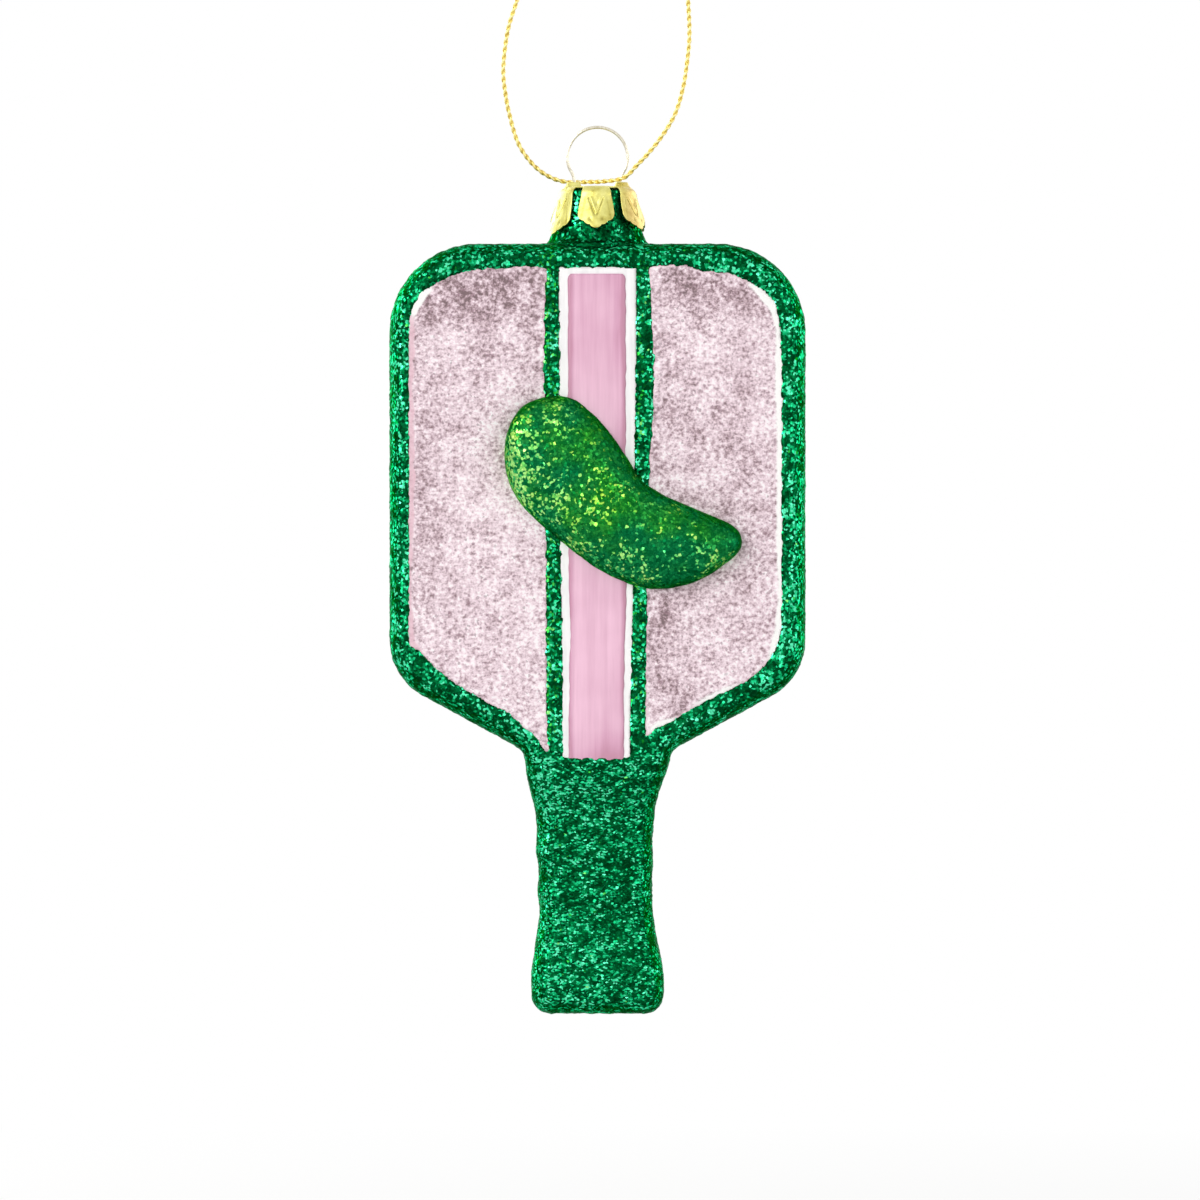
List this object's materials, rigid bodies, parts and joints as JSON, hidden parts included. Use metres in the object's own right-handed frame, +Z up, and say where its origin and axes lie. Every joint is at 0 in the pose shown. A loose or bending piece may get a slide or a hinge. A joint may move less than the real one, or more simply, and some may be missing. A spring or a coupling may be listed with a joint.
{
  "type": "pickleball ornament",
  "caption": "Blown-glass tree ornament shaped as a pickleball paddle with a pickle relief, glitter coats, a foil crown cap, a spring wire ring and a hanging cord.",
  "frame": {"origin": "The hanging point: the underside of the knot, where the two strands of the cord close the loop.", "axes": "+Z up along the paddle, from the handle's end to the hanging point; +X to the right as the face is seen; -Y is the face with the pickle."},
  "size_m": [0.0584, 0.0246, 0.1903],
  "materials": {
    "blown_glass": "clear blown glass, polished",
    "green_glitter": "emerald green polyester glitter glued on, dense, sparkling",
    "pickle_glitter": "yellow-green glitter over green, coarse, sparkling",
    "pink_glitter": "pale pink paint dusted with fine silver glitter",
    "white_enamel": "white enamel, hand painted",
    "pink_satin": "satin orchid pink paint, brushed on along the stripe",
    "pale_gold_foil": "pressed foil, pale gold, satin",
    "spring_wire": "thin spring wire, bright",
    "gold_cord": "two-ply metallic gold cord"
  },
  "bodies": {
    "cord": {"hanging_cord": "gold_cord", "cord_knot": "gold_cord"},
    "hanger": {"wire_hanger": "spring_wire"},
    "cap": {"crown_cap": "pale_gold_foil"},
    "paddle": {"glass_body": "blown_glass", "green_glitter_coat": "green_glitter", "pickle_glitter_coat": "pickle_glitter", "front_left_panel": "pink_glitter", "front_right_panel": "pink_glitter", "front_upper_band": "white_enamel", "front_lower_band": "white_enamel", "front_upper_stripe": "pink_satin", "front_lower_stripe": "pink_satin", "back_left_panel": "pink_glitter", "back_right_panel": "pink_glitter", "back_band": "white_enamel", "back_stripe": "pink_satin"}
  },
  "joints": [
    {"name": "ornament_swing", "type": "hinge", "parent": "cord", "child": "hanger", "pos_m": [0, 0, -0.0655], "axis": [1, 0, 0], "range_deg": [-15, 15]},
    {"name": "hanger_pull", "type": "slide", "parent": "hanger", "child": "cap", "axis": [0, 0, -1], "range_m": [0, 0.01]},
    {"name": "cap_turn", "type": "hinge", "parent": "cap", "child": "paddle", "pos_m": [0, 0, -0.067], "axis": [0, 0, 1], "continuous": true}
  ]
}
